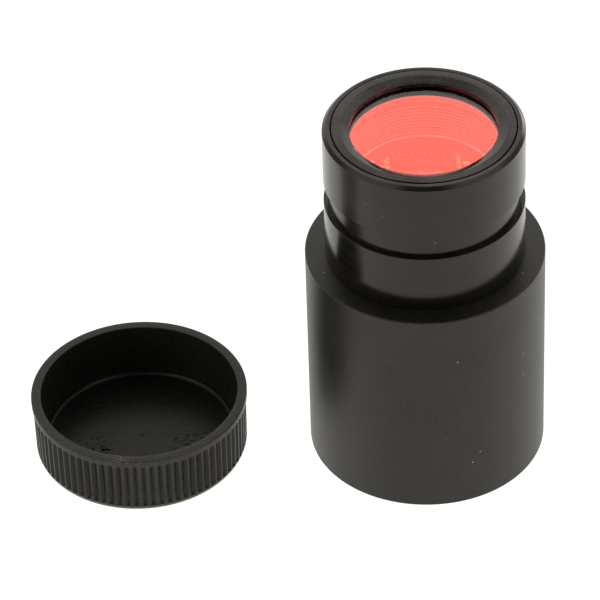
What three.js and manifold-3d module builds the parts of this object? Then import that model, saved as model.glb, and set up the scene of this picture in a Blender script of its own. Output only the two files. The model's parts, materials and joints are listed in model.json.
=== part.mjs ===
// Guide camera with a 1.25 inch barrel, and its dust cap lying upturned beside it.
// Millimetres, +Z up. The origin is the centre of the rear face, on the optical axis.
// The camera stands on its rear face and looks along +Z.
import * as THREE from 'three';
import { mergeVertices } from 'three/addons/utils/BufferGeometryUtils.js';
import Module from 'manifold-3d';

const wasm = await Module();
wasm.setup();

// ---------------------------------------------------------------- driving dimensions
const ROUND = 64;
const ROUND_INNER = 48;
const ROUND_SMALL = 12;
const WELD = 1e-4;
const REST = 0.05;
const CLEAR = 0.3;
const PAST = 1; // how far a cutting tool runs past the face that it cuts

const SHELL = { radius: 19.05, top: 38, wall: 1.75, plate: 3.5, mouth: 14.5, edge: 0.2 };
const SPIGOT = { radius: 15.95, depth: 0.4 };
const COVER = { radius: 17.55, thick: 2.2, seat: 2.5, recess: 17.85 };
const BARREL = { radius: 15.85, front: 61.95, chamfer: [0.59, 0.51], tail: 14.2, tailEnd: 31.2 };
const UNDERCUT = { ledge: 48.1, radius: 15.07, top: 52.2 };
const THROAT = { radius: 11.55, seat: 57, stop: 51.45, chamber: 13.2, cell: 14.6 };
const RING = { radius: 14.32, foot: 57.6, bore: 11.6, face: 13.08, dish: 0.59, seat: 12.9 };
const GLASS = { radius: 12.6, top: 60.75, thick: 1 };

const LUG = { radius: 2.4, pitch: 15.2, angles: [25, 155, 205, 335], top: 16.3 };
const SCREW = { shank: 0.9, head: 1.6, headHeight: 1.1, length: 6.5 };
const CROSS_SLOT = { width: 0.5, length: 2, depth: 0.6 };
const PAN_HEAD = { radius: 1.7, crown: 1.2, side: 0.8, height: 1.2 };
const STANDOFF = { radius: 1.9, sides: 6, thread: 5, stud: 5 };

const PCB = 1.6;
const PORT_BOARD = { radius: 16.4, foot: 16.6 };
const PROCESSOR_BOARD = { radius: 16.4, foot: 27.8 };
const SENSOR_BOARD = { radius: 12.8, foot: 49.6 };
const GROUND_RING = { inner: 10.7, outer: 11.45, thick: 0.12, gap: 0.02 };
const LOCK_RING = { bore: 11.2, foot: 46.8, play: 0.2 };
const SEAL = { bore: 11.95, outer: 14.1 };

const SENSOR = { side: 11.4, height: 1.2, cavity: 9.4, floor: 0.5, turn: 1.5 };
const PADS = { count: 10, pitch: 1.016, width: 0.6, web: 0.15, proud: 0.35, drop: 0.1 };
const DIE = { width: 7.2, depth: 5.8, thick: 0.35 };
const WINDOW = { side: 10.6, thick: 0.4 };
const SENSOR_CAPACITOR = { width: 1, depth: 0.6, height: 0.5 };
const SENSOR_CAPACITOR_PLACES = [[-6.75, 3.25], [-8.1, 4.6], [6.75, 3.6], [6.9, 2.3]];

// Width, depth, height and place of each component on the processor board.
const USB_CONTROLLER = [10, 10, 1.2, -4.5, 0];
const FRAME_MEMORY = [8, 6, 1, -3, 10];
const CLOCK_CRYSTAL = [5, 3.2, 1.1, -4, -9];
const POWER_INDUCTOR = [4.5, 4.5, 2.6, 5, -8.2];
const VOLTAGE_REGULATOR = [3.2, 3, 1.3, 5.5, 10];
const PROCESSOR_CAPACITORS = [-1.6, 1.6].map((y) => [1.6, 2, 1.2, 11.5, y]);

const RELAY = { width: 4.4, depth: 3.9, height: 2, places: [[-8, -8], [-8, 8], [8, -8], [8, 8]] };
const STACK = { width: 5, depth: 13, header: 2.5, gap: 0.1 };
const FLEX = { width: 8, thick: 0.3, low: [7, 32.1], high: [-3, 47.2], pull: 0.55, steps: 16 };
const FLEX_CONNECTOR = { width: 3.4, depth: 11, height: 2 };

const PORT_FACE = 0.3;
const GUIDE_PORT = { width: 13, height: 11.6, y: -8.1, mouth: [9.8, 6.9], mouthY: -9.1, depth: 12.5 };
const LATCH = { width: 6.2, height: 1.4, rise: 4.05 };
const KEY = { width: 3.4, height: 2.6, rise: 4.65 };
const WIRE = { count: 6, pitch: 1.27, thick: 0.5, front: 2.5, roof: 0.55 };
const WIRE_INSERT = { width: 8.5, height: 0.9, length: 2.5 };
const USB_PORT = { width: 12, height: 10.8, y: 8.1, wall: 0.6, back: 1.6, corner: 2.2 };
const TONGUE = { width: 5.6, height: 3.1, front: 1.4, y: 7.5, base: [10.5, 4.9, 4], overlap: 1 };

const CAP = { x: -46.65, y: -1.69, radius: 17.5, height: 11.5, floor: 2, bore: 15.95, ribs: 80 };
const CAP_DRAFT = 0.35;
const CAP_BOTTOM = [[15.6, 0], [16.5, 0.5], [16.9, 1.5]];
const CAP_EDGE = { band: 0.3, chamfer: [0.2, 0.15] };
const RIB = { peak: 17.28, valley: 17.02, foot: 1.9, head: 10.1, draft: 0.12 };

// ---------------------------------------------------------------- finishes
const finish = (color, roughness, metalness = 0) =>
  new THREE.MeshStandardMaterial({ color, roughness, metalness });
const MATT_BLACK = finish(0x1b1b1a, 0.55, 0.4);
const SATIN_BLACK = finish(0x111111, 0.25, 0.4);
const CORAL_GLASS = finish(0xfe7062, 0.03, 0.2);
const CLEAR_GLASS = finish(0xbfd4d0, 0.05);
const BLACK_PLASTIC = finish(0x1f1f1c, 0.6);
const BLACK_RUBBER = finish(0x141414, 0.85);
const GREEN_BOARD = finish(0x0f3d2a, 0.5);
const GOLD = finish(0xd9a441, 0.3, 1);
const TIN = finish(0xc9ccd0, 0.35, 1);
const STEEL = finish(0x8d9094, 0.35, 1);
const BRASS = finish(0xb99a4e, 0.35, 1);
const CHIP_BLACK = finish(0x151517, 0.7);
const CERAMIC = finish(0x4b4640, 0.6);
const WHITE_CERAMIC = finish(0xd8d3c8, 0.6);
const SILICON = finish(0x3b3550, 0.15, 0.6);
const AMBER_FILM = finish(0xa8641c, 0.4);

// ---------------------------------------------------------------- shape helpers
const rad = THREE.MathUtils.degToRad;

// A closed profile of [radius, height] points, turned about the optical axis.
function turned(profile, segments = ROUND) {
  const closed = [...profile, profile[0]].map(([r, z]) => new THREE.Vector2(r, z));
  return new THREE.LatheGeometry(closed, segments).rotateX(Math.PI / 2);
}

// A profile that starts and ends on the axis.
function turnedSolid(profile, segments = ROUND) {
  const points = profile.map(([r, z]) => new THREE.Vector2(r, z));
  return new THREE.LatheGeometry(points, segments).rotateX(Math.PI / 2);
}

function ring(inner, outer, low, high, segments = ROUND_INNER) {
  return turned([[inner, low], [outer, low], [outer, high], [inner, high]], segments);
}

function disc(radius, low, high, segments = ROUND_SMALL) {
  return turnedSolid([[0, low], [radius, low], [radius, high], [0, high]], segments);
}

function box(width, depth, low, high, x = 0, y = 0) {
  return new THREE.BoxGeometry(width, depth, high - low).translate(x, y, (low + high) / 2);
}

function rectangle(width, height, x = 0, y = 0) {
  const [w, h] = [width / 2, height / 2];
  const corners = [[-w, -h], [w, -h], [w, h], [-w, h]];
  return new THREE.Shape(corners.map(([u, v]) => new THREE.Vector2(x + u, y + v)));
}

function plate(shape, low, high) {
  const depth = high - low;
  return new THREE.ExtrudeGeometry(shape, { depth, bevelEnabled: false, curveSegments: ROUND_SMALL })
    .translate(0, 0, low);
}

// ---------------------------------------------------------------- booleans
function solid(geometry) {
  const bare = geometry.clone();
  bare.deleteAttribute('normal');
  bare.deleteAttribute('uv');
  const welded = mergeVertices(bare, WELD);
  const index = welded.index.array;
  const kept = [];
  for (let i = 0; i < index.length; i += 3) {
    const [a, b, c] = [index[i], index[i + 1], index[i + 2]];
    if (a !== b && b !== c && c !== a) kept.push(a, b, c);
  }
  const vertProperties = new Float32Array(welded.attributes.position.array);
  return new wasm.Manifold(new wasm.Mesh({ numProp: 3, vertProperties, triVerts: new Uint32Array(kept) }));
}

function surface(manifold) {
  const { vertProperties, triVerts } = manifold.getMesh();
  const geometry = new THREE.BufferGeometry();
  geometry.setAttribute('position', new THREE.BufferAttribute(new Float32Array(vertProperties), 3));
  geometry.setIndex(new THREE.BufferAttribute(new Uint32Array(triVerts), 1));
  geometry.computeVertexNormals();
  return geometry;
}

function cut(body, ...tools) {
  return surface(tools.reduce((left, tool) => left.subtract(solid(tool)), solid(body)));
}

function fused(first, ...others) {
  return surface(others.reduce((sum, piece) => sum.add(solid(piece)), solid(first)));
}

// ---------------------------------------------------------------- places that repeat
const polar = (radius, degrees) => [radius * Math.cos(rad(degrees)), radius * Math.sin(rad(degrees))];
const lugPlaces = LUG.angles.map((angle) => polar(LUG.pitch, angle));
const atLugs = (make) => lugPlaces.map(([x, y]) => make().translate(x, y, 0));

// Named copies of a repeated piece: name_1, name_2 and so on.
const numbered = (name, copies, material) => copies.map((copy, i) => [`${name}_${i + 1}`, copy, material]);

// ---------------------------------------------------------------- housing
function bodyShell() {
  const { radius, top, wall, plate: front, mouth, edge } = SHELL;
  const tube = turned([
    [COVER.recess, 0],
    [radius - edge, 0],
    [radius, edge],
    [radius, top - edge],
    [radius - edge, top],
    [SPIGOT.radius, top],
    [SPIGOT.radius, top - SPIGOT.depth],
    [mouth, top - SPIGOT.depth],
    [mouth, top - front],
    [radius - wall, top - front],
    [radius - wall, COVER.seat],
    [COVER.recess, COVER.seat],
  ]);
  const lugs = atLugs(() => disc(LUG.radius, COVER.seat, LUG.top));
  const tapped = atLugs(() => disc(SCREW.shank + CLEAR, COVER.seat - PAST, LUG.top + PAST));
  return cut(fused(tube, ...lugs), ...tapped);
}

function nosepiece() {
  const { radius, front, chamfer, tail, tailEnd } = BARREL;
  const shoulder = SHELL.top - SPIGOT.depth + REST;
  return turned([
    [THROAT.chamber, tailEnd],
    [tail, tailEnd],
    [tail, shoulder],
    [radius, shoulder],
    [radius, UNDERCUT.ledge],
    [UNDERCUT.radius, UNDERCUT.ledge],
    [UNDERCUT.radius, UNDERCUT.top],
    [radius, UNDERCUT.top],
    [radius, front - chamfer[1]],
    [radius - chamfer[0], front],
    [THROAT.cell, front],
    [THROAT.cell, THROAT.seat],
    [THROAT.radius, THROAT.seat],
    [THROAT.radius, THROAT.stop],
    [THROAT.chamber, THROAT.stop],
  ]);
}

function screwBlank(grow, low) {
  const [head, shank] = [SCREW.head + grow, SCREW.shank + grow];
  const [neck, tip] = [low + SCREW.headHeight, low + SCREW.length];
  return turnedSolid([[0, low], [head, low], [shank, neck], [shank, tip], [0, tip]], ROUND_SMALL);
}

function rearCover() {
  const blank = disc(COVER.radius, 0, COVER.thick, ROUND);
  const windows = [GUIDE_PORT, USB_PORT].map(({ width, height, y }) =>
    box(width + 2 * CLEAR, height + 2 * CLEAR, -PAST, COVER.thick + PAST, 0, y));
  const countersinks = atLugs(() => screwBlank(CLEAR, 0).translate(0, 0, -WELD));
  return cut(blank, ...windows, ...countersinks);
}

function rearCoverScrews() {
  const drive = () => box(CROSS_SLOT.width, CROSS_SLOT.length, -PAST, CROSS_SLOT.depth);
  const screw = cut(screwBlank(0, REST), drive(), drive().rotateZ(Math.PI / 2));
  return atLugs(() => screw.clone());
}

const rearSeal = () => ring(SHELL.radius - SHELL.wall + REST, COVER.recess - REST, COVER.thick + REST,
  COVER.seat - REST);

// ---------------------------------------------------------------- filter cell
function filterRing() {
  const { radius, foot, bore, face, dish, seat } = RING;
  const shelf = GLASS.top + REST;
  return turned([
    [bore, shelf],
    [seat, shelf],
    [seat, foot],
    [radius, foot],
    [radius, BARREL.front],
    [face, BARREL.front],
    [bore, BARREL.front - dish],
  ]);
}

const filterGlass = () => disc(GLASS.radius, GLASS.top - GLASS.thick, GLASS.top, ROUND);
const filterRetainer = () => ring(RING.bore, RING.seat - REST, RING.foot + REST,
  GLASS.top - GLASS.thick - REST);
const filterSeal = () => ring(SEAL.bore, SEAL.outer, THROAT.seat + REST, RING.foot - REST);

// ---------------------------------------------------------------- sensor
const sensorTop = SENSOR_BOARD.foot + PCB;

const sensorBoard = () => disc(SENSOR_BOARD.radius, SENSOR_BOARD.foot, sensorTop, ROUND_INNER);
const sensorGroundRing = () => ring(GROUND_RING.inner, GROUND_RING.outer, sensorTop + GROUND_RING.gap,
  sensorTop + GROUND_RING.thick);
const sensorLockRing = () => ring(LOCK_RING.bore, THROAT.chamber - LOCK_RING.play, LOCK_RING.foot,
  SENSOR_BOARD.foot - REST);

function onSensor(geometry) {
  return geometry.rotateZ(rad(SENSOR.turn)).translate(0, 0, sensorTop);
}

function sensorPackage() {
  const { side, height, cavity, floor } = SENSOR;
  return onSensor(cut(box(side, side, REST, height), box(cavity, cavity, floor, height + PAST)));
}

const sensorDie = () => onSensor(box(DIE.width, DIE.depth, SENSOR.floor + REST, SENSOR.floor + DIE.thick));
const sensorCoverGlass = () => onSensor(box(WINDOW.side, WINDOW.side, SENSOR.height + REST,
  SENSOR.height + WINDOW.thick));

// A thin frame round the package with a raised contact at each pad.
function sensorContacts() {
  const half = SENSOR.side / 2;
  const [inner, web, face] = [half + REST, half + PADS.web, half + PADS.proud];
  const edge = [[-web, web]];
  for (let i = 0; i < PADS.count; i += 1) {
    const middle = (i - (PADS.count - 1) / 2) * PADS.pitch;
    const [left, right] = [middle - PADS.width / 2, middle + PADS.width / 2];
    edge.push([left, web], [left, face], [right, face], [right, web]);
  }
  const corner = new THREE.Vector2();
  const points = [0, 1, 2, 3].flatMap((turn) => edge.map(([x, y]) =>
    new THREE.Vector2(x, y).rotateAround(corner, -turn * Math.PI / 2)));
  const outline = new THREE.Shape(points.reverse());
  outline.holes = [new THREE.Path(rectangle(2 * inner, 2 * inner).getPoints().reverse())];
  return onSensor(plate(outline, REST, SENSOR.height - PADS.drop));
}

function sensorCapacitors() {
  const { width, depth, height } = SENSOR_CAPACITOR;
  const [low, high] = [sensorTop + REST, sensorTop + height];
  return SENSOR_CAPACITOR_PLACES.map(([x, y]) => box(width, depth, low, high, x, y));
}

// ---------------------------------------------------------------- boards and what they carry
function boardWithHoles({ radius, foot }) {
  const holes = atLugs(() => disc(SCREW.shank + CLEAR, foot - PAST, foot + PCB + PAST));
  return cut(disc(radius, foot, foot + PCB, ROUND_INNER), ...holes);
}

function boardStandoffs() {
  const low = PORT_BOARD.foot + PCB + REST;
  const high = PROCESSOR_BOARD.foot - REST;
  return atLugs(() => {
    const stud = disc(SCREW.shank, low - STANDOFF.stud, low + PAST);
    const nut = disc(STANDOFF.radius, low, high, STANDOFF.sides);
    return cut(fused(nut, stud), disc(SCREW.shank + CLEAR, high - STANDOFF.thread, high + PAST));
  });
}

function boardScrews() {
  const seat = PROCESSOR_BOARD.foot + PCB + REST;
  const tip = seat - STANDOFF.thread;
  const { radius, crown, side, height } = PAN_HEAD;
  return atLugs(() => turnedSolid([
    [0, tip],
    [SCREW.shank, tip],
    [SCREW.shank, seat],
    [radius, seat],
    [radius, seat + side],
    [crown, seat + height],
    [0, seat + height],
  ], ROUND_SMALL));
}

function onProcessor([width, depth, height, x, y]) {
  const seat = PROCESSOR_BOARD.foot + PCB + REST;
  return box(width, depth, seat, seat + height, x, y);
}

function flexConnectorLower() {
  const { width, depth, height } = FLEX_CONNECTOR;
  return onProcessor([width, depth, height, FLEX.low[0], 0]);
}

function flexConnectorUpper() {
  const { width, depth, height } = FLEX_CONNECTOR;
  const high = SENSOR_BOARD.foot - REST;
  return box(width, depth, high - height, high, FLEX.high[0], 0);
}

function sensorFlex() {
  const [low, high] = [FLEX.low, FLEX.high];
  const bend = (high[1] - low[1]) * FLEX.pull;
  const route = new THREE.CubicBezierCurve(
    new THREE.Vector2(...low),
    new THREE.Vector2(low[0], low[1] + bend),
    new THREE.Vector2(high[0], high[1] - bend),
    new THREE.Vector2(...high),
  );
  const side = (sign) => Array.from({ length: FLEX.steps + 1 }, (_, i) => {
    const t = i / FLEX.steps;
    const along = route.getTangent(t);
    const across = new THREE.Vector2(-along.y, along.x).multiplyScalar(sign * FLEX.thick / 2);
    return route.getPoint(t).add(across);
  });
  const outline = new THREE.Shape([...side(-1), ...side(1).reverse()]);
  return new THREE.ExtrudeGeometry(outline, { depth: FLEX.width, bevelEnabled: false })
    .rotateX(Math.PI / 2)
    .translate(0, FLEX.width / 2, 0);
}

function stackHeader() {
  const high = PROCESSOR_BOARD.foot - REST;
  return box(STACK.width, STACK.depth, PROCESSOR_BOARD.foot - STACK.header, high);
}

function stackSocket() {
  const low = PORT_BOARD.foot + PCB + REST;
  return box(STACK.width, STACK.depth, low, PROCESSOR_BOARD.foot - STACK.header - STACK.gap);
}

function guideRelays() {
  const seat = PORT_BOARD.foot + PCB + REST;
  const { width, depth, height, places } = RELAY;
  return places.map(([x, y]) => box(width, depth, seat, seat + height, x, y));
}

// ---------------------------------------------------------------- rear ports
function guidePortSocket() {
  const { width, height, y, mouth, mouthY, depth } = GUIDE_PORT;
  const body = box(width, height, PORT_FACE, PORT_BOARD.foot - REST, 0, y);
  const cavity = box(mouth[0], mouth[1], -PAST, depth, 0, mouthY);
  const steps = [LATCH, KEY].map((step) => box(step.width, step.height, -PAST, depth, 0, mouthY + step.rise));
  return cut(body, cavity, ...steps);
}

// Contact wires standing in one insert at the closed end of the socket.
function guidePortContacts() {
  const { mouth, mouthY, depth } = GUIDE_PORT;
  const roof = mouthY - mouth[1] / 2 + WIRE.roof;
  const { width, height, length } = WIRE_INSERT;
  const insert = box(width, height, depth - length, depth - REST, 0, roof);
  const wires = Array.from({ length: WIRE.count }, (_, i) => {
    const x = (i - (WIRE.count - 1) / 2) * WIRE.pitch;
    return box(WIRE.thick, WIRE.thick, WIRE.front, depth - PAST, x, roof);
  });
  return fused(insert, ...wires);
}

function usbSocketShell() {
  const { width, height, y, wall, back, corner } = USB_PORT;
  const profile = (inset) => {
    const [w, h] = [width / 2 - inset, height / 2 - inset];
    const slope = corner - inset / 2;
    const points = [[-w, -h], [w, -h], [w, h - slope], [w - slope, h], [-w + slope, h], [-w, h - slope]];
    return new THREE.Shape(points.map(([u, v]) => new THREE.Vector2(u, y + v)));
  };
  const outside = plate(profile(0), PORT_FACE, PORT_BOARD.foot - REST);
  return cut(outside, plate(profile(wall), -PAST, PORT_BOARD.foot - back));
}

function usbSocketTongue() {
  const { width, height, front, y, base, overlap } = TONGUE;
  const back = PORT_BOARD.foot - USB_PORT.back - REST;
  const [baseWidth, baseHeight, baseLength] = base;
  const root = box(baseWidth, baseHeight, back - baseLength, back, 0, y);
  return fused(root, box(width, height, front, back - overlap, 0, y));
}

// ---------------------------------------------------------------- dust cap
function dustCap() {
  const { radius, height, floor, bore, ribs } = CAP;
  const { peak, valley, foot, head, draft } = RIB;
  const middle = (peak + valley) / 2;
  const outline = [
    [0, 0],
    ...CAP_BOTTOM,
    [middle - draft, foot],
    [middle, head],
    [radius, head + CAP_EDGE.band],
    [radius, height - CAP_EDGE.chamfer[1]],
    [radius - CAP_EDGE.chamfer[0], height],
    [bore, height],
    [bore - CAP_DRAFT, floor],
    [0, floor],
  ];
  const geometry = turnedSolid(outline, 2 * ribs);
  const place = geometry.attributes.position;
  const isRibbed = (z) => Math.abs(z - foot) < WELD || Math.abs(z - head) < WELD;
  for (let i = 0; i < place.count; i += 1) {
    const [x, y, z] = [place.getX(i), place.getY(i), place.getZ(i)];
    const reach = Math.hypot(x, y);
    if (isRibbed(z) && reach > bore) {
      const tooth = Math.round(Math.atan2(y, x) / (Math.PI / ribs));
      const swing = (tooth % 2 === 0 ? 1 : -1) * (peak - valley) / 2;
      place.setXYZ(i, x * (1 + swing / reach), y * (1 + swing / reach), z);
    }
  }
  geometry.deleteAttribute('normal');
  geometry.computeVertexNormals();
  return geometry.translate(CAP.x, CAP.y, 0);
}

// ---------------------------------------------------------------- assembly
const camera = new THREE.Group();
const parts = [
  ['body_shell', bodyShell(), MATT_BLACK],
  ['nosepiece', nosepiece(), SATIN_BLACK],
  ['filter_ring', filterRing(), SATIN_BLACK],
  ['filter_glass', filterGlass(), CORAL_GLASS],
  ['filter_retainer', filterRetainer(), MATT_BLACK],
  ['filter_seal', filterSeal(), BLACK_RUBBER],
  ['sensor_board', sensorBoard(), GREEN_BOARD],
  ['sensor_ground_ring', sensorGroundRing(), TIN],
  ['sensor_lock_ring', sensorLockRing(), MATT_BLACK],
  ['sensor_package', sensorPackage(), CERAMIC],
  ['sensor_contacts', sensorContacts(), GOLD],
  ['sensor_die', sensorDie(), SILICON],
  ['sensor_cover_glass', sensorCoverGlass(), CLEAR_GLASS],
  ...numbered('sensor_capacitor', sensorCapacitors(), WHITE_CERAMIC),
  ['flex_connector_upper', flexConnectorUpper(), WHITE_CERAMIC],
  ['flex_connector_lower', flexConnectorLower(), WHITE_CERAMIC],
  ['sensor_flex', sensorFlex(), AMBER_FILM],
  ['processor_board', boardWithHoles(PROCESSOR_BOARD), GREEN_BOARD],
  ['usb_controller_chip', onProcessor(USB_CONTROLLER), CHIP_BLACK],
  ['frame_memory_chip', onProcessor(FRAME_MEMORY), CHIP_BLACK],
  ['clock_crystal', onProcessor(CLOCK_CRYSTAL), TIN],
  ['power_inductor', onProcessor(POWER_INDUCTOR), CHIP_BLACK],
  ['voltage_regulator', onProcessor(VOLTAGE_REGULATOR), CHIP_BLACK],
  ...numbered('processor_capacitor', PROCESSOR_CAPACITORS.map(onProcessor), WHITE_CERAMIC),
  ...numbered('board_screw', boardScrews(), STEEL),
  ...numbered('board_standoff', boardStandoffs(), BRASS),
  ['stack_header', stackHeader(), CHIP_BLACK],
  ['stack_socket', stackSocket(), CHIP_BLACK],
  ['port_board', boardWithHoles(PORT_BOARD), GREEN_BOARD],
  ...numbered('guide_relay', guideRelays(), CHIP_BLACK),
  ['usb_socket_shell', usbSocketShell(), TIN],
  ['usb_socket_tongue', usbSocketTongue(), WHITE_CERAMIC],
  ['guide_port_socket', guidePortSocket(), BLACK_PLASTIC],
  ['guide_port_contacts', guidePortContacts(), GOLD],
  ['rear_cover', rearCover(), MATT_BLACK],
  ...numbered('rear_cover_screw', rearCoverScrews(), STEEL),
  ['rear_seal', rearSeal(), BLACK_RUBBER],
  ['dust_cap', dustCap(), BLACK_PLASTIC],
];

for (const [name, geometry, material] of parts) {
  const mesh = new THREE.Mesh(geometry, material);
  mesh.name = name;
  camera.add(mesh);
}

export default camera;
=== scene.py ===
"""Guide camera with a 1.25 inch barrel, and its dust cap lying upturned beside it.

Fine turned and moulded meshes stand for the faceted CAD solids, and every piece has a procedural material.
Profiles are in millimetres, and place() turns them into metres in the CAD frame.
"""
import json
import math

import bpy
import numpy as np
from mathutils import Matrix, Vector


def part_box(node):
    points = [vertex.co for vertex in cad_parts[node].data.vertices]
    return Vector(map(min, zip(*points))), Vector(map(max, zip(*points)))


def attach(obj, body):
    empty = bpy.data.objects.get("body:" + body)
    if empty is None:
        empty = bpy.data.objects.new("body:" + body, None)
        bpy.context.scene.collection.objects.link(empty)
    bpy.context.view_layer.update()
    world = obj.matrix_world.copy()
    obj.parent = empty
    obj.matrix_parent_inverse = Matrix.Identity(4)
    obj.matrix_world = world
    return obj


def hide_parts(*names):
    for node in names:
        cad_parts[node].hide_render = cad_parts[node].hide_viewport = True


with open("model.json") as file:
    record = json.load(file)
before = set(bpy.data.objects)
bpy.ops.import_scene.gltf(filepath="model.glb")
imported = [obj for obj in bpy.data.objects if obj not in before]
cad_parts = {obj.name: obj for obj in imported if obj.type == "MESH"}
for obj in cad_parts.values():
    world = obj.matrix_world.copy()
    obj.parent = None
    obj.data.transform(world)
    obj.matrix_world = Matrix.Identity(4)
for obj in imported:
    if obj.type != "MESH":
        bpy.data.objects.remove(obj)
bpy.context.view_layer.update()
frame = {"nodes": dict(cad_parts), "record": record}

MM = 0.001
ROUND = 288
FILLET_STEPS = 5
SHARP = math.radians(32)


# ---------------------------------------------------------------- the frame's own places
def spans(node):
    """A CAD node's lowest and highest corners, in millimetres."""
    low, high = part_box(node)
    return [c / MM for c in low], [c / MM for c in high]


_, shell_high = spans("body_shell")
nose_low, nose_high = spans("nosepiece")
ring_low, ring_high = spans("filter_ring")
glass_low, glass_high = spans("filter_glass")
cap_low, cap_high = spans("dust_cap")
_, board_high = spans("sensor_board")

BODY_RADIUS = shell_high[0]
SHOULDER = shell_high[2]
FRONT = nose_high[2]
CAP_CENTRE = ((cap_low[0] + cap_high[0]) / 2, (cap_low[1] + cap_high[1]) / 2)
CAP_HEIGHT = cap_high[2]
BOARD_TOP = board_high[2]

# The thread that keeps stray light off the sensor runs down the bore from its topmost crest.
BAFFLE_CREST = 56.9
BAFFLE_PITCH = 0.62
BAFFLE_DEPTH = 0.2


# ---------------------------------------------------------------- profiles and meshes
def soften(profile, closed=True):
    """Profile points are (radius, height) or (radius, height, fillet). Each fillet becomes an arc."""
    count = len(profile)
    points = []
    for i, point in enumerate(profile):
        here = np.array(point[:2], float)
        fillet = point[2] if len(point) > 2 else 0
        if not fillet or (not closed and i in (0, count - 1)):
            points.append(tuple(here))
            continue
        before = np.array(profile[i - 1][:2], float) - here
        after = np.array(profile[(i + 1) % count][:2], float) - here
        before /= np.linalg.norm(before)
        after /= np.linalg.norm(after)
        half = math.acos(max(-1.0, min(1.0, float(before @ after)))) / 2
        middle = (before + after) / np.linalg.norm(before + after)
        centre = here + middle * fillet / math.sin(half)
        start = here + before * fillet / math.tan(half)
        end = here + after * fillet / math.tan(half)
        first = math.atan2(*(start - centre)[::-1])
        turn = math.atan2(*(end - centre)[::-1]) - first
        turn = (turn + math.pi) % (2 * math.pi) - math.pi
        for step in range(FILLET_STEPS + 1):
            angle = first + turn * step / FILLET_STEPS
            points.append((centre[0] + fillet * math.cos(angle), centre[1] + fillet * math.sin(angle)))
    return points


def grid(rows, closed):
    """Faces between rows of vertices that each run round the axis. A row of one vertex is a pole."""
    vertices = []
    starts = []
    for row in rows:
        starts.append(len(vertices))
        vertices.extend(row)
    faces = []
    pairs = list(range(len(rows) - 1)) + ([len(rows) - 1] if closed else [])
    for i in pairs:
        j = (i + 1) % len(rows)
        a, b = starts[i], starts[j]
        m, n = len(rows[i]), len(rows[j])
        for k in range(max(m, n)):
            nxt = (k + 1) % max(m, n)
            if m == 1:
                faces.append((a, b + nxt, b + k))
            elif n == 1:
                faces.append((a + k, a + nxt, b))
            else:
                faces.append((a + k, a + nxt, b + nxt, b + k))
    return vertices, faces


def turned(profile, closed=True, segments=ROUND, centre=(0, 0), shape=None):
    """Vertices and faces of a turned profile. shape(radius, height, angle) may change each radius."""
    rows = []
    for radius, height in soften(profile, closed):
        if radius < 1e-6:
            rows.append([(centre[0], centre[1], height)])
            continue
        row = []
        for k in range(segments):
            angle = 2 * math.pi * k / segments
            reach = shape(radius, height, angle) if shape else radius
            row.append((centre[0] + reach * math.cos(angle), centre[1] + reach * math.sin(angle), height))
        rows.append(row)
    return grid(rows, closed)


def joined(*parts):
    """Several (vertices, faces) pairs as one."""
    vertices, faces = [], []
    for more_vertices, more_faces in parts:
        base = len(vertices)
        vertices.extend(more_vertices)
        faces.extend(tuple(base + v for v in face) for face in more_faces)
    return vertices, faces


def place(name, shape, body, material, stands_for=()):
    """Makes a piece from (vertices, faces) in millimetres, and gives it its body and material."""
    vertices, faces = shape
    mesh = bpy.data.meshes.new(name)
    mesh.from_pydata([tuple(c * MM for c in v) for v in vertices], [], faces)
    mesh.validate()
    mesh.update()
    mesh.materials.append(material)
    piece = bpy.data.objects.new(name, mesh)
    bpy.context.scene.collection.objects.link(piece)
    mesh.shade_smooth()
    mesh.set_sharp_from_angle(angle=SHARP)
    normals = piece.modifiers.new("Normals", "WEIGHTED_NORMAL")
    normals.keep_sharp = True
    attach(piece, body)
    if stands_for:
        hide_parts(*stands_for)
    return piece


def block(width, depth, low, high, x=0, y=0, turn=0):
    """A box of (vertices, faces), turned about its own centre by degrees."""
    c, s = math.cos(math.radians(turn)), math.sin(math.radians(turn))
    u, v = width / 2, depth / 2
    corners = [(-u, -v), (u, -v), (u, v), (-u, v)]
    vertices = [(x + u * c - v * s, y + u * s + v * c, z) for z in (low, high) for u, v in corners]
    faces = [(3, 2, 1, 0), (4, 5, 6, 7), (0, 1, 5, 4), (1, 2, 6, 5), (2, 3, 7, 6), (3, 0, 4, 7)]
    return vertices, faces


# ---------------------------------------------------------------- materials
class Nodes:
    """A node tree, with short calls for the nodes that repeat."""

    def __init__(self, tree):
        self.nodes = tree.nodes
        self.links = tree.links

    def node(self, kind, inputs=None, **settings):
        made = self.nodes.new(kind)
        for key, value in settings.items():
            setattr(made, key, value)
        for key, value in (inputs or {}).items():
            if isinstance(value, bpy.types.NodeSocket):
                self.links.new(value, made.inputs[key])
            else:
                made.inputs[key].default_value = value
        return made

    def math(self, operation, a, b=0.0, c=0.0):
        return self.node("ShaderNodeMath", {0: a, 1: b, 2: c}, operation=operation).outputs[0]

    def product(self, first, *others):
        for other in others:
            first = self.math("MULTIPLY", first, other)
        return first

    def largest(self, first, *others):
        for other in others:
            first = self.math("MAXIMUM", first, other)
        return first

    def blend(self, a, b, share):
        """The first value's share added to what the second one's share leaves."""
        return self.math("MULTIPLY_ADD", a, share, self.math("MULTIPLY", b, 1 - share))

    def split(self, vector):
        """The three parts of a vector."""
        return self.node("ShaderNodeSeparateXYZ", {0: vector}).outputs

    def remap(self, value, low, high, to_low, to_high, smooth=False):
        inputs = {0: value, 1: low, 2: high, 3: to_low, 4: to_high}
        interpolation = "SMOOTHSTEP" if smooth else "LINEAR"
        return self.node("ShaderNodeMapRange", inputs, interpolation_type=interpolation).outputs[0]

    def zone(self, value, start, full, level=1.0):
        """Nothing up to start, rising to level at full and beyond it. Start may be above full."""
        return self.remap(value, start, full, 0, level)


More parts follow.
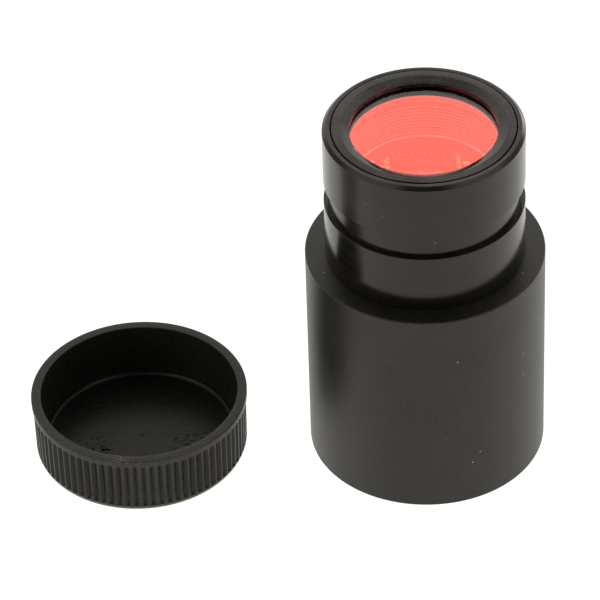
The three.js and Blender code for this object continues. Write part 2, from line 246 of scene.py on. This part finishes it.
class Shader(Nodes):
    """A material round one Principled shader."""

    def __init__(self, name, color, roughness, metallic=0.0, ior=1.5, specular=0.5, sheen=(1, 1, 1)):
        self.material = bpy.data.materials.new(name)
        self.material.use_nodes = True
        super().__init__(self.material.node_tree)
        self.main = self.nodes["Principled BSDF"]
        self.main.inputs["Base Color"].default_value = (*color, 1)
        self.main.inputs["Roughness"].default_value = roughness
        self.main.inputs["Metallic"].default_value = metallic
        self.main.inputs["IOR"].default_value = ior
        self.main.inputs["Specular IOR Level"].default_value = specular
        self.main.inputs["Specular Tint"].default_value = (*sheen, 1)
        self.roughness = roughness
        self.normal = None

    def use_surface(self, socket):
        """Puts another shader in the Principled one's place."""
        self.nodes.remove(self.main)
        self.links.new(socket, self.nodes["Material Output"].inputs["Surface"])

    def coordinates(self, scale=(1, 1, 1), centre=(0, 0)):
        """Object coordinates in millimetres from a centre, stretched by scale."""
        source = self.node("ShaderNodeTexCoord").outputs["Object"]
        moved = self.node("ShaderNodeVectorMath", {0: source, 1: (-centre[0] * MM, -centre[1] * MM, 0)},
                          operation="ADD").outputs[0]
        factors = tuple(s / MM for s in scale)
        return self.node("ShaderNodeVectorMath", {0: moved, 1: factors}, operation="MULTIPLY").outputs[0]

    def polar(self, centre=(0, 0), radial=1.0, around=1.0, along=1.0):
        """Radius, arc angle and height as a vector, in millimetres and radians, each scaled."""
        point = self.coordinates(centre=centre)
        split = self.split(point)
        flat = self.node("ShaderNodeCombineXYZ", {0: split[0], 1: split[1]}).outputs[0]
        radius = self.node("ShaderNodeVectorMath", {0: flat}, operation="LENGTH").outputs["Value"]
        angle = self.math("ARCTAN2", split[1], split[0])
        return self.node("ShaderNodeCombineXYZ", {
            0: self.math("MULTIPLY", radius, radial),
            1: self.math("MULTIPLY", angle, around),
            2: self.math("MULTIPLY", split[2], along),
        }).outputs[0]

    def noise(self, vector, scale, detail=3.0, distortion=0.0):
        inputs = {"Vector": vector, "Scale": scale, "Detail": detail, "Distortion": distortion}
        return self.node("ShaderNodeTexNoise", inputs).outputs["Fac"]

    def mix(self, factor, a, b):
        made = self.node("ShaderNodeMix", {0: factor}, data_type="RGBA")
        for key, value in ((6, a), (7, b)):
            if isinstance(value, bpy.types.NodeSocket):
                self.links.new(value, made.inputs[key])
            else:
                made.inputs[key].default_value = (*value, 1)
        return made.outputs[2]

    def set_color(self, socket):
        self.links.new(socket, self.main.inputs["Base Color"])

    def set_roughness(self, value, spread):
        """Roughness that varies with a 0 to 1 value by spread either way."""
        low, high = self.roughness - spread, self.roughness + spread
        self.links.new(self.remap(value, 0.3, 0.7, max(low, 0.02), high), self.main.inputs["Roughness"])

    def bump(self, height, depth):
        """Adds a bump of that depth in millimetres on top of any bump already there."""
        inputs = {"Height": height, "Distance": depth * MM, "Strength": 1.0}
        if self.normal:
            inputs["Normal"] = self.normal
        self.normal = self.node("ShaderNodeBump", inputs).outputs[0]
        self.links.new(self.normal, self.main.inputs["Normal"])


def specks(shader, size, rarity, surface, color):
    """Sparse specks of dust: small cells of a Voronoi pattern, of which only a few are kept."""
    cells = shader.node("ShaderNodeTexVoronoi", {"Vector": shader.coordinates(), "Scale": 1 / size})
    reach = 0.24
    near = shader.math("LESS_THAN", cells.outputs["Distance"], reach)
    pick = shader.node("ShaderNodeSeparateColor", {0: cells.outputs["Color"]}).outputs[0]
    chosen = shader.math("GREATER_THAN", pick, rarity)
    return shader.mix(shader.product(near, chosen), surface, color)


def anodised_satin():
    """Turned and anodised: fine rings round the barrel, worn patches, and a thread in its bore painted paler
    as painted light, with painted shade in its grooves and painted highlights on its crests.
    """
    dark, pale, dust = (0.002, 0.0018, 0.0016), (0.012, 0.011, 0.0095), (0.2, 0.19, 0.17)
    # Painted light and shade for the bore's thread: painted shade in the grooves, painted highlight on the
    # crests.
    groove, crest = (0.065, 0.065, 0.065), (0.24, 0.24, 0.24)
    bore_start, bore_full = 11.94, 11.86
    shader = Shader("satin_anodised_turned", dark, 0.19, ior=1.44, sheen=(1, 0.89, 0.83))
    rings = shader.noise(shader.polar(radial=5, around=0.5, along=5), 1.0, detail=4)
    mottle = shader.noise(shader.coordinates(), 2.5, detail=4)
    patches = shader.noise(shader.coordinates(), 0.16, detail=3)
    worn = shader.blend(rings, mottle, 0.6)
    surface = shader.mix(shader.zone(worn, 0.4, 0.62), dark, pale)
    radius, _, height = shader.split(shader.polar())
    # The bore is painted far paler than the anodising: painted light standing in for light falling into it.
    bore = shader.zone(radius, bore_start, bore_full)
    above = shader.math("SUBTRACT", height, BAFFLE_CREST)
    wave = shader.math("COSINE", shader.product(above, 2 * math.pi / BAFFLE_PITCH))
    thread = shader.mix(shader.zone(wave, -0.5, 0.7), groove, crest)
    shader.set_color(specks(shader, 0.5, 0.996, shader.mix(bore, surface, thread), dust))
    shader.set_roughness(shader.blend(patches, rings, 0.6), 0.04)
    shader.bump(rings, 0.0015)
    shader.bump(mottle, 0.0012)
    return shader.material


def anodised_face():
    """The filter cell's faced end and the barrel's rim: turning lines, crossed by chatter marks."""
    dark, pale, dust = (0.0008, 0.0007, 0.0006), (0.029, 0.026, 0.024), (0.2, 0.19, 0.17)
    shader = Shader("faced_anodised", dark, 0.1, ior=1.44, sheen=(1, 0.87, 0.82))
    lines = shader.noise(shader.polar(radial=4.5, around=1.5, along=4.5), 1.0, detail=2)
    chatter = shader.noise(shader.polar(radial=0.8, around=45, along=0.8), 1.0, detail=1, distortion=0.3)
    area = shader.remap(shader.noise(shader.coordinates(), 0.11, detail=1), 0.42, 0.62, 0.2, 1.0)
    crossed, share = shader.product(chatter, area), 0.6
    marks = shader.math("MULTIPLY_ADD", crossed, share, shader.product(lines, share))
    surface = shader.mix(shader.zone(marks, 0.39, 0.58), dark, pale)
    shader.set_color(specks(shader, 0.4, 0.995, surface, dust))
    shader.set_roughness(lines, 0.04)
    shader.bump(lines, 0.003)
    shader.bump(crossed, 0.006)
    return shader.material


def anodised_matt():
    """Blasted, then anodised: a fine even grain with hardly any shine, and a few specks of dust."""
    dark, pale, dust = (0.001, 0.001, 0.0009), (0.014, 0.0132, 0.0118), (0.26, 0.25, 0.22)
    shader = Shader("matt_anodised_blasted", dark, 0.42, ior=1.44, sheen=(1, 0.94, 0.87))
    grain = shader.noise(shader.coordinates(), 3.2, detail=6)
    patches = shader.noise(shader.coordinates(), 0.12, detail=3)
    surface = shader.mix(shader.zone(shader.blend(grain, patches, 0.75), 0.4, 0.6), dark, pale)
    shader.set_color(specks(shader, 0.6, 0.9965, surface, dust))
    shader.set_roughness(grain, 0.07)
    shader.bump(grain, 0.012)
    return shader.material


def coral_coating():
    """The filter's coating: it mirrors coral and lets the rest through as cyan."""
    coral, cyan = (0.93, 0.052, 0.033), (0.0, 0.94, 0.96)
    shader = Shader("coral_filter_coating", coral, 0.02)
    veil = shader.noise(shader.coordinates(), 0.25, detail=2)
    rough = shader.remap(veil, 0.3, 0.7, 0.01, 0.03)
    mirror = shader.node("ShaderNodeBsdfGlossy", {"Color": (*coral, 1), "Roughness": rough})
    through = shader.node("ShaderNodeBsdfTransparent", {"Color": (*cyan, 1)})
    both = shader.node("ShaderNodeAddShader", {0: mirror.outputs[0], 1: through.outputs[0]})
    shader.use_surface(both.outputs[0])
    return shader.material


def clear_glass(name, tint):
    """A thin clear pane: it mirrors by its Fresnel share and doesn't bend what is behind it."""
    shader = Shader(name, tint, 0.02)
    outside = shader.math("SUBTRACT", 1.0, shader.node("ShaderNodeNewGeometry").outputs["Backfacing"])
    share = shader.product(shader.node("ShaderNodeFresnel", {"IOR": 1.5}).outputs[0], outside)
    film = shader.noise(shader.coordinates(), 0.3, detail=3)
    rough = shader.remap(film, 0.3, 0.7, 0.0, 0.03)
    glossy = shader.node("ShaderNodeBsdfGlossy", {"Color": (1, 1, 1, 1), "Roughness": rough})
    clear = shader.node("ShaderNodeBsdfTransparent", {"Color": (*tint, 1)})
    both = shader.node("ShaderNodeMixShader", {0: share, 1: clear.outputs[0], 2: glossy.outputs[0]})
    shader.use_surface(both.outputs[0])
    return shader.material


def moulded_plastic(name, color, roughness, grain, depth):
    """Fine grain of that depth in millimetres, with darker and lighter patches of its colour."""
    shader = Shader(name, color, roughness)
    spread = 0.25
    texture = shader.noise(shader.coordinates(), grain, detail=4)
    patches = shader.noise(shader.coordinates(), 0.2, detail=3)
    darker = tuple((1 - spread) * c for c in color)
    lighter = tuple((1 + spread) * c for c in color)
    shader.set_color(shader.mix(patches, darker, lighter))
    shader.set_roughness(texture, 0.08)
    shader.bump(texture, depth)
    return shader.material


def scuffed_plastic():
    """The cap's plastic: fine grain, paler where it is worn, with black scuffs at the front of its floor,
    painted highlights on the rib crests, painted floor light on the lower side and bottom edge, and painted
    shade in the rib grooves and on the floor inside.

    Each zone is given by the radius, height or depth, in millimetres, where it starts and where it is full.
    """
    color, pale, edge = (0.012, 0.0112, 0.009), (0.075, 0.07, 0.06), (0.12, 0.114, 0.1)
    light, black, shine = tuple(2 * c for c in color), (0.0012, 0.0012, 0.001), 0.19
    shader = Shader("cap_plastic_black", color, 0.28, specular=shine, sheen=(1, 0.96, 0.87))
    radius, _, height = shader.split(shader.polar(CAP_CENTRE))
    across, depth, _ = shader.split(shader.coordinates(centre=CAP_CENTRE))
    grain = shader.noise(shader.coordinates(), 3.2, detail=5)
    scratches = shader.noise(shader.coordinates(scale=(0.5, 5, 3)), 1.0, detail=4, distortion=1.5)
    spread = shader.coordinates(scale=(0.3, 0.6, 0.4), centre=(3, 1))
    blots = shader.noise(spread, 1.0, detail=2, distortion=1.6)
    from_middle = shader.math("ABSOLUTE", shader.math("SUBTRACT", blots, 0.5))
    strokes = shader.zone(from_middle, 0.03, 0.015)
    outside = shader.zone(radius, 16.3, 16.5)

    on_rim = shader.zone(height, 11.0, CAP_HEIGHT, 0.35)
    # Paler rib crests: partly wear, partly a painted highlight along each crest.
    crest_wear_and_painted_highlight = shader.zone(radius, 17.1, 17.25, 0.65)
    # Paler towards the bottom of the outer side: painted light from the bright floor.
    lower_side_painted_floor_light = shader.product(shader.zone(height, 6.0, 0.8, 0.6), outside)
    on_wall = shader.product(shader.zone(height, 2.3, 3.0, 0.12), shader.zone(radius, 16.4, 16.2))
    # Wear on the rim and inner wall, together with the painted crest highlight and painted floor light.
    wear_and_painted_light = shader.largest(on_rim, crest_wear_and_painted_highlight, lower_side_painted_floor_light, on_wall)
    wear_and_painted_light = shader.product(wear_and_painted_light, shader.remap(grain, 0.3, 0.7, 0.2, 1))
    # worn is the colour with that wear and painted light in it.
    worn = shader.mix(wear_and_painted_light, shader.mix(grain, black, light), pale)

    in_ribs = shader.product(shader.zone(height, 10.2, 10.0), outside)
    # Darker in the rib grooves: painted shade.
    groove = shader.product(shader.zone(radius, 17.1, 16.95, 0.4), in_ribs)
    # Darker floor inside the cap: painted shade at the bottom of its well.
    floor_painted_shade = shader.product(shader.zone(height, 2.7, 2.3, 0.6), shader.zone(radius, 16.2, 16.0))
    band = shader.product(shader.zone(depth, 1.0, -0.6), shader.zone(depth, -6.5, -5.0))
    aside = shader.zone(shader.math("ABSOLUTE", across), 4.0, 5.5)
    low_inside = shader.product(shader.zone(height, 3.4, 2.6), shader.math("SUBTRACT", 1.0, outside))
    scuffs = shader.product(strokes, band, aside, low_inside)
    # dark holds the real scuffs and the painted shade in the rib grooves and on the floor.
    dark = shader.largest(scuffs, groove, floor_painted_shade)

    nicked = shader.product(shader.zone(depth, -15.2, -15.8), shader.zone(height, 11.1, 11.3))
    beside = shader.zone(shader.math("ABSOLUTE", shader.math("ADD", across, 2.9)), 1.6, 1.0)
    nicks = shader.product(strokes, nicked, beside)
    # Pale bottom edge: a painted reflection of the bright floor. The same pale edge colour marks real nicks
    # in the rim.
    bottom_edge_painted_reflection = shader.zone(height, 1.7, 0.9)
    shader.set_color(shader.mix(shader.largest(bottom_edge_painted_reflection, nicks), shader.mix(dark, worn, black), edge))
    shader.links.new(shader.remap(scuffs, 0, 1, shine, 0), shader.main.inputs["Specular IOR Level"])
    shader.set_roughness(shader.blend(scratches, grain, 0.6), 0.1)
    shader.bump(grain, 0.02)
    shader.bump(scratches, 0.012)
    return shader.material


def metal(name, color, roughness, grain=(6, 6, 6)):
    """Streaks along the grain, and stains a fifth darker than the colour."""
    shader = Shader(name, color, roughness, metallic=1.0)
    streaks = shader.noise(shader.coordinates(scale=grain), 1.0, detail=4)
    stain = shader.noise(shader.coordinates(), 0.5, detail=3)
    shader.set_color(shader.mix(stain, tuple(0.8 * c for c in color), color))
    shader.set_roughness(streaks, 0.08)
    shader.bump(streaks, 0.003)
    return shader.material


def circuit_board():
    """Solder mask over traces: a blocky pattern of copper runs that shows as a slight step and tint."""
    shader = Shader("circuit_board_black", (0.008, 0.009, 0.01), 0.4)
    runs = shader.node("ShaderNodeTexVoronoi", {"Vector": shader.coordinates(), "Scale": 0.9},
                       distance="CHEBYCHEV", feature="F1").outputs["Distance"]
    lines = shader.zone(runs, 0.35, 0.4)
    shader.set_color(shader.mix(lines, (0.007, 0.008, 0.009), (0.016, 0.018, 0.02)))
    shader.set_roughness(shader.noise(shader.coordinates(), 3, detail=3), 0.06)
    shader.bump(lines, 0.03)
    return shader.material


def rubber():
    """Dull black with a fine uneven skin."""
    shader = Shader("black_rubber", (0.012, 0.012, 0.012), 0.75)
    texture = shader.noise(shader.coordinates(), 5, detail=5)
    shader.set_color(shader.mix(texture, (0.009, 0.009, 0.009), (0.02, 0.02, 0.02)))
    shader.set_roughness(texture, 0.1)
    shader.bump(texture, 0.02)
    return shader.material


SATIN = anodised_satin()
FACED = anodised_face()
MATT = anodised_matt()
CORAL = coral_coating()
GLASS = clear_glass("filter_glass_clear", (0.97, 0.99, 0.99))
COVER_GLASS = clear_glass("cover_glass_clear", (0.9, 0.98, 0.97))
CAP_PLASTIC = scuffed_plastic()
PORT_PLASTIC = moulded_plastic("port_plastic_black", (0.012, 0.012, 0.012), 0.42, 5.0, 0.008)
CONNECTOR_PLASTIC = moulded_plastic("connector_plastic_ivory", (0.55, 0.5, 0.4), 0.45, 5.0, 0.008)
CHIP = moulded_plastic("chip_epoxy_black", (0.012, 0.012, 0.013), 0.6, 8.0, 0.01)
SILICON = moulded_plastic("silicon_die", (0.02, 0.016, 0.04), 0.12, 2.0, 0.001)
FILM = moulded_plastic("amber_film", (0.4, 0.16, 0.02), 0.3, 1.0, 0.01)
CERAMIC = moulded_plastic("grey_ceramic", (0.1, 0.085, 0.07), 0.6, 6.0, 0.01)
WHITE_CERAMIC = moulded_plastic("white_ceramic", (0.78, 0.76, 0.74), 0.4, 6.0, 0.01)
PAD_GOLD = moulded_plastic("pad_gold", (1.0, 0.95, 0.22), 0.45, 5.0, 0.005)
GOLD = metal("gold_plating", (1.0, 0.72, 0.3), 0.25)
DULL_TIN = moulded_plastic("dull_tin", (0.78, 0.78, 0.76), 0.5, 5.0, 0.01)
TIN = metal("tin_plating", (0.75, 0.76, 0.77), 0.35, grain=(1, 1, 8))
STEEL = metal("blackened_steel", (0.1, 0.1, 0.105), 0.4)
BRASS = metal("turned_brass", (0.72, 0.52, 0.22), 0.3, grain=(1, 1, 12))
BOARD = circuit_board()
RUBBER = rubber()

SLOT_MATERIALS = {
    "matt_anodised": MATT, "satin_anodised": SATIN, "coated_glass": GLASS, "clear_glass": COVER_GLASS,
    "rubber": RUBBER, "circuit_board": BOARD, "gold": GOLD, "tin": TIN, "steel": STEEL, "brass": BRASS,
    "chip_black": CHIP, "grey_ceramic": CERAMIC, "white_ceramic": WHITE_CERAMIC,
    "connector_plastic": CONNECTOR_PLASTIC, "silicon": SILICON, "amber_film": FILM,
    "port_plastic": PORT_PLASTIC, "cap_plastic": CAP_PLASTIC,
}


def dress_cad_nodes():
    """Every CAD node that still shows gets the procedural material of its slot."""
    for subpart in frame["record"]["subparts"]:
        node = frame["nodes"][subpart["node"]]
        node.data.materials.clear()
        node.data.materials.append(SLOT_MATERIALS[subpart["material_slot"]])


# ---------------------------------------------------------------- housing
def body_tube():
    wall, front, mouth, seat, recess = 1.75, 3.5, 14.5, 2.5, 17.85
    edge = 0.22
    profile = [
        (recess, 0, 0.05),
        (BODY_RADIUS, 0, edge),
        (BODY_RADIUS, SHOULDER, edge),
        (mouth, SHOULDER, 0.05),
        (mouth, SHOULDER - front, 0.05),
        (BODY_RADIUS - wall, SHOULDER - front),
        (BODY_RADIUS - wall, seat),
        (recess, seat),
    ]
    place("body_tube", turned(profile), "camera", MATT, ["body_shell"])


def barrel():
    """The nosepiece: chamfered rim, safety undercut, baffle thread in its bore and thread on its tail."""
    radius, tail, chamber, throat, cell = nose_high[0], 14.2, 13.2, 11.55, 14.6
    rim_top = FRONT - 0.01
    ledge, undercut, undercut_top = 48.1, 15.07, 52.2
    cell_seat, stop, shoulder = 57.0, 51.45, SHOULDER + 0.05
    rim, rim_fall = 0.59, 0.51
    lead_in, relief, thread_stop = 0.3, 3.4, 4
    pitch, depth = BAFFLE_PITCH, BAFFLE_DEPTH
    tail_end = nose_low[2]
    profile = [(chamber, tail_end), (tail, tail_end)]
    for turn in range(int((shoulder - thread_stop - tail_end) / pitch)):
        height = tail_end + lead_in + turn * pitch
        profile += [(tail, height), (tail - depth, height + pitch / 2)]
    profile += [
        (tail, shoulder - relief),
        (tail, shoulder),
        (radius, shoulder),
        (radius, ledge, 0.06),
        (undercut, ledge),
        (undercut, undercut_top, 0.06),
        (radius, undercut_top, 0.06),
        (radius, FRONT - rim_fall, 0.04),
        (radius - rim, FRONT, 0.04),
        (cell, FRONT, 0.03),
        (cell, cell_seat),
        (throat, cell_seat),
    ]
    for turn in range(int((cell_seat - stop) / pitch)):
        height = BAFFLE_CREST - turn * pitch
        profile += [(throat + depth, height - pitch / 2), (throat, height - pitch)]
    profile += [(throat, stop), (chamber, stop)]
    piece = place("barrel", turned(profile), "camera", SATIN, ["nosepiece"])
    piece.data.materials.append(FACED)
    for face in piece.data.polygons:
        face.material_index = int(face.center.z > rim_top * MM)


# ---------------------------------------------------------------- filter cell
def filter_cell_ring():
    radius, foot = ring_high[0], ring_low[2]
    bore, face, dish, seat = 11.6, 13.08, 0.59, 12.9
    shelf, proud, spread = glass_high[2] + 0.05, 0.08, 0.06
    pitch, depth, collar = 0.6, 0.25, FRONT - 0.45
    profile = [
        (bore, shelf, 0.03),
        (seat, shelf),
        (seat, foot),
        (radius - depth, foot),
    ]
    for turn in range(int((collar - foot) / pitch)):
        height = foot + turn * pitch
        profile += [(radius, height + pitch / 2), (radius - depth, height + pitch)]
    profile += [
        (radius - depth, collar),
        (radius + spread, collar, 0.05),
        (radius + spread, FRONT + proud, 0.05),
        (face, FRONT + proud, 0.05),
        (bore, FRONT + proud - dish, 0.06),
    ]
    place("filter_cell_ring", turned(profile), "filter_cell", FACED, ["filter_ring"])


def filter_pane():
    """The glass, and the coating under it. The pane doesn't bend light, so the coating sits at the depth
    that it seems to have through real glass."""
    radius, top, low = glass_high[0], glass_high[2], glass_low[2]
    edge, sunk, film = 0.12, 0.445, 0.01
    profile = [(0, top), (radius, top, edge), (radius, low, edge), (0, low)]
    place("filter_pane", turned(profile[::-1], closed=False), "filter_cell", GLASS,
          ["filter_glass"])
    level = top - sunk
    coat = [(0, level - film), (radius - 0.3, level - film), (radius - 0.3, level), (0, level)]
    place("filter_coating", turned(coat, closed=False), "filter_cell", CORAL)


def retainer_ring():
    """The ring that holds the glass, with its bore threaded against stray light."""
    low, high = spans("filter_retainer")
    outer, bore, pitch, depth = high[0], 11.6, BAFFLE_PITCH, BAFFLE_DEPTH
    profile = [(bore, low[2]), (outer, low[2]), (outer, high[2]), (bore, high[2])]
    for turn in range(int((high[2] - low[2]) / pitch)):
        height = high[2] - turn * pitch
        profile += [(bore + depth, height - pitch / 2), (bore, height - pitch)]
    place("retainer_ring", turned(profile), "filter_cell", SATIN, ["filter_retainer"])


# ---------------------------------------------------------------- sensor
SENSOR_TURN = 1.5
PAD_PITCH = 1.016
PADS = 10


def turned_place(x, y, degrees):
    c, s = math.cos(math.radians(degrees)), math.sin(math.radians(degrees))
    return x * c - y * s, x * s + y * c


def sensor_pads():
    """Gold contacts: a pad on the package's rim, joined to a groove of gold that runs down its side."""
    side, rim, top, drop, foot = 5.88, 5.46, BOARD_TOP + 1.24, BOARD_TOP + 0.7, BOARD_TOP + 0.02
    rim_pad, side_pad, thick = (0.7, 0.6), (0.6, 0.3), 0.06
    pads = []
    for face in range(4):
        turn = SENSOR_TURN + 90 * face
        for i in range(PADS):
            along = (i - (PADS - 1) / 2) * PAD_PITCH
            pads.append(block(*rim_pad, top - thick, top, *turned_place(along, rim, turn), turn))
            pads.append(block(*side_pad, foot, drop, *turned_place(along, side, turn), turn))
    place("sensor_gold_pads", joined(*pads), "camera", PAD_GOLD, ["sensor_contacts"])


def ground_trace():
    """The tinned ring round the sensor board's edge. It stands where the unbent view through the glass
    needs it, a third of a millimetre above the board."""
    inner, outer, lift, thick = 10.98, 11.36, 0.33, 0.08
    low = BOARD_TOP + lift
    profile = [(inner, low), (outer, low), (outer, low + thick, 0.03), (inner, low + thick, 0.03)]
    place("ground_trace", turned(profile), "camera", DULL_TIN, ["sensor_ground_ring"])


# ---------------------------------------------------------------- dust cap
def dust_cap_body():
    """Ribbed side with rounded ribs, a plain band under the rim and a rounded bottom edge."""
    radius, floor, bore, ribs = 17.5, 2.0, 15.95, 80
    peak, valley, foot, head = 17.28, 16.88, 1.75, 10.1
    steps_per_rib, groove_share, gate = 12, 0.8, 0.35
    run_out, taper, slack, wall = 0.35, 0.12, 0.01, 0.5

    def ribbed(reach, height, angle):
        if not (foot - slack <= height <= head + slack and reach > bore + wall):
            return reach
        fade = min(1, (height - foot) / run_out, (head - height) / (run_out / 2) + 0.3)
        from_groove = abs(ribs * angle / (2 * math.pi) % 1 - 0.5) * 2
        groove = max(0, 1 - from_groove / groove_share)
        return reach - max(0, fade) * groove ** 0.8 * (peak - valley)

    low_rows = [foot, foot + run_out / 2, foot + run_out]
    ribbed_rows = low_rows + [4, 6, 8, head - run_out, head - run_out / 2, head]
    profile = [
        (0, 0),
        (radius - 3.2, 0, 1.6),
        (radius - 0.62, foot - 0.9, 0.8),
        *[(peak - taper * (head - height) / (head - foot), height) for height in ribbed_rows],
        (radius - 0.02, head + 0.25, 0.08),
        (radius, CAP_HEIGHT, 0.16),
        (bore, CAP_HEIGHT, 0.1),
        (bore - 0.35, floor, 0.8),
        (gate, floor, 0.1),
        (0.8 * gate, floor + 0.1, 0.04),
        (0, floor + 0.08),
    ]
    shape = turned(profile, closed=False, segments=ribs * steps_per_rib, centre=CAP_CENTRE, shape=ribbed)
    place("dust_cap_body", shape, "dust_cap", CAP_PLASTIC, ["dust_cap"])


# ---------------------------------------------------------------- studio
PITCH = 39.479
ROLL = -1.987
CAMERA_PLACE = (-0.020081, -0.54152, 0.473976)
SENSOR_WIDTH = 36.0
LENS = 263.44
LAMP_WHITE = (1.0, 0.99, 0.94, 1)
SKY_WHITE = (1.0, 0.99, 0.95, 1)


def make_camera():
    data = bpy.data.cameras.new("camera")
    data.lens = LENS
    data.sensor_width = SENSOR_WIDTH
    data.clip_start = 0.01
    data.clip_end = 20
    camera = bpy.data.objects.new("camera", data)
    bpy.context.scene.collection.objects.link(camera)
    camera.matrix_world = (Matrix.Translation(CAMERA_PLACE)
                           @ Matrix.Rotation(math.radians(90 - PITCH), 4, "X")
                           @ Matrix.Rotation(math.radians(ROLL), 4, "Z"))
    bpy.context.scene.camera = camera


def stage_square(name, reach, centre, material):
    """A flat square of the stage, which is no part of the model."""
    mesh = bpy.data.meshes.new(name)
    corners = [(-reach, -reach, 0), (reach, -reach, 0), (reach, reach, 0), (-reach, reach, 0)]
    mesh.from_pydata(corners, [], [(0, 1, 2, 3)])
    mesh.materials.append(material)
    square = bpy.data.objects.new(name, mesh)
    square.location = centre
    bpy.context.scene.collection.objects.link(square)
    return square


def make_floor():
    """A plain pale floor that is nearly shadowless, as a lit table is."""
    reach, just_below, glow = 4.0, -0.00002, 1.08
    shader = Shader("floor_white", (0.1, 0.1, 0.1), 0.8, specular=0.0)
    shader.main.inputs["Emission Color"].default_value = LAMP_WHITE
    shader.main.inputs["Emission Strength"].default_value = glow
    stage_square("floor", reach, (0, 0, just_below), shader.material)


def make_painted_cap_shadow():
    """A painted shadow of the cap: a soft grey patch on the floor beyond the cap, outside the view, which
    the barrel reflects.
    """
    reach, centre, dark, light = 0.03, (-0.094, -0.001, MM), 0.35, 1.1
    shader = Shader("painted_cap_shadow", (0.05, 0.05, 0.05), 0.9, specular=0.0)
    off = shader.node("ShaderNodeVectorMath", {0: shader.coordinates()}, operation="LENGTH").outputs["Value"]
    # Dimmest glow in the middle of the patch: the painted cap shadow.
    glow = shader.remap(off, 0.45 * reach / MM, 0.95 * reach / MM, dark, light)
    shader.main.inputs["Emission Color"].default_value = LAMP_WHITE
    shader.links.new(glow, shader.main.inputs["Emission Strength"])
    shadow_patch = stage_square("painted_cap_shadow", reach, centre, shader.material)
    shadow_patch.visible_camera = False


def make_world():
    """A white studio: bright behind and round the horizon, dark above the front, with a box each side."""
    box_aim, box_glow, horizon_glow = (0.68, 0.25, 0.69), 1.2, 1.05
    front_glow, back_glow, side_share = 0.08, 1.2, 0.35
    world = bpy.data.worlds.new("studio")
    world.use_nodes = True
    tree = Nodes(world.node_tree)
    direction = tree.node("ShaderNodeTexCoord").outputs["Generated"]
    mirrored = tree.node("ShaderNodeVectorMath", {0: direction}, operation="ABSOLUTE").outputs[0]
    _, back, up = tree.split(direction)
    across = tree.split(mirrored)[0]

    def switch(factor, a, b):
        return tree.node("ShaderNodeMix", {0: factor, 2: a, 3: b}).outputs[0]

    behind = tree.remap(back, -0.5, 0.6, front_glow, back_glow, smooth=True)
    sides = tree.remap(across, 0.5, 0.8, 1.0, side_share, smooth=True)
    facing = tree.node("ShaderNodeVectorMath", {0: mirrored, 1: box_aim}, operation="DOT_PRODUCT")
    in_front = tree.remap(back, -0.02, 0.3, 1.0, 0.0, smooth=True)
    near_box = tree.remap(facing.outputs["Value"], 0.85, 0.97, 0.0, 1.0, smooth=True)
    boxes = switch(tree.product(in_front, near_box), tree.product(behind, sides), box_glow)
    horizon = tree.remap(up, 0.06, 0.3, 1.0, 0.0, smooth=True)
    background = tree.nodes["Background"]
    tree.links.new(switch(horizon, boxes, horizon_glow), background.inputs["Strength"])
    background.inputs["Color"].default_value = SKY_WHITE
    bpy.context.scene.world = world


def back_softbox():
    """A weak softbox behind the camera body, to one side, which draws the barrel's bright edge."""
    place_at, target, size, power = (0.4, 0.6, 0.09), (0, 0, 0.06), (0.4, 0.18), 0.5
    data = bpy.data.lights.new("back_softbox", "AREA")
    data.shape = "RECTANGLE"
    data.size, data.size_y = size
    data.energy = power
    light = bpy.data.objects.new("back_softbox", data)
    bpy.context.scene.collection.objects.link(light)
    light.location = place_at
    aim = Vector(target) - light.location
    light.rotation_mode = "QUATERNION"
    light.rotation_quaternion = aim.to_track_quat("-Z", "Y")
    light.visible_camera = False


def main():
    make_camera()
    make_floor()
    make_world()
    dress_cad_nodes()
    body_tube()
    barrel()
    filter_cell_ring()
    filter_pane()
    retainer_ring()
    sensor_pads()
    ground_trace()
    dust_cap_body()
    bpy.context.scene.view_settings.view_transform = "Standard"
    back_softbox()
    # The painted shadow of the cap on the floor.
    make_painted_cap_shadow()


main()
